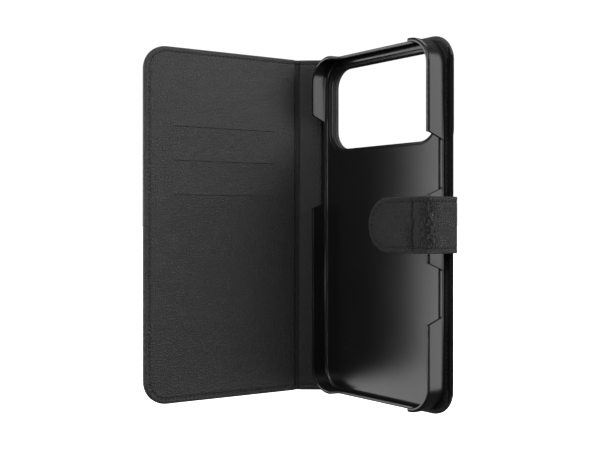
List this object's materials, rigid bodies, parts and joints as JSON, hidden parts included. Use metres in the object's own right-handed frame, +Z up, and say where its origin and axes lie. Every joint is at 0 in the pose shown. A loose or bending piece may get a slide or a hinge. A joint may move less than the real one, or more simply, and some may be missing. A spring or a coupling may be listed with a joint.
{
  "type": "phone wallet case",
  "caption": "Folding leather phone wallet case with a snap-in tray, camera window, card pockets in the cover and a magnetic strap, standing open.",
  "frame": {"origin": "middle of the bottom of the bounding box, on the surface that the opened case stands on", "axes": "+Z is up, along the phone's height; -Y is out of the tray's mouth; +X is from the spine toward the free edge of the back"},
  "size_m": [0.1098, 0.097, 0.169],
  "materials": {
    "outer_leather": "matte black pebble-grain PU leather",
    "lining_leather": "matte black fine-grain PU leather",
    "board": "greyboard, hidden between the leathers",
    "spacer": "black foam board, hidden",
    "adhesive": "double-sided adhesive sheet, hidden",
    "tray": "glossy black polycarbonate",
    "pocket_fabric": "thin black woven pocket lining",
    "keeper": "bare steel sheet, hidden",
    "magnet": "nickel-plated magnet, hidden",
    "thread": "black sewing thread"
  },
  "bodies": {
    "back": {"back_outer_leather": "outer_leather", "back_board": "board", "camera_surround": "spacer", "back_lining": "lining_leather", "back_stitching": "thread", "tray_adhesive": "adhesive", "phone_tray": "tray", "strap_root": "outer_leather", "strap_root_thread": "thread"},
    "spine": {"spine_outer_leather": "outer_leather", "spine_board": "board", "spine_lining": "lining_leather"},
    "front_cover": {"cover_outer_leather": "outer_leather", "cover_board": "board", "keeper_plate": "keeper", "card_pocket_top": "pocket_fabric", "card_pocket_middle": "pocket_fabric", "card_pocket_bottom": "pocket_fabric", "card_panel": "lining_leather", "cover_stitching": "thread"},
    "strap_side": {"strap_side_leather": "outer_leather", "strap_side_lining": "lining_leather", "strap_side_thread_upper": "thread", "strap_side_thread_lower": "thread"},
    "strap_tip": {"strap_tip_leather": "outer_leather", "strap_tip_lining": "lining_leather", "clasp_magnet": "magnet", "strap_tip_thread": "thread"}
  },
  "joints": [
    {"name": "spine_fold", "type": "hinge", "parent": "back", "child": "spine", "pos_m": [-0.03439, 0.04666, 0.0845], "axis": [0, 0, 1], "range_deg": [-139.9, 40.1]},
    {"name": "cover_fold", "type": "hinge", "parent": "spine", "child": "front_cover", "pos_m": [-0.04429, 0.0349, 0.0845], "axis": [0, 0, 1], "range_deg": [-122.85, 57.15]},
    {"name": "strap_root_fold", "type": "hinge", "parent": "back", "child": "strap_side", "pos_m": [0.05386, 0.04761, 0.0845], "axis": [0, 0, 1], "range_deg": [0, 180]},
    {"name": "strap_tip_fold", "type": "hinge", "parent": "strap_side", "child": "strap_tip", "pos_m": [0.05386, 0.03013, 0.0845], "axis": [0, 0, 1], "range_deg": [0, 90]}
  ]
}
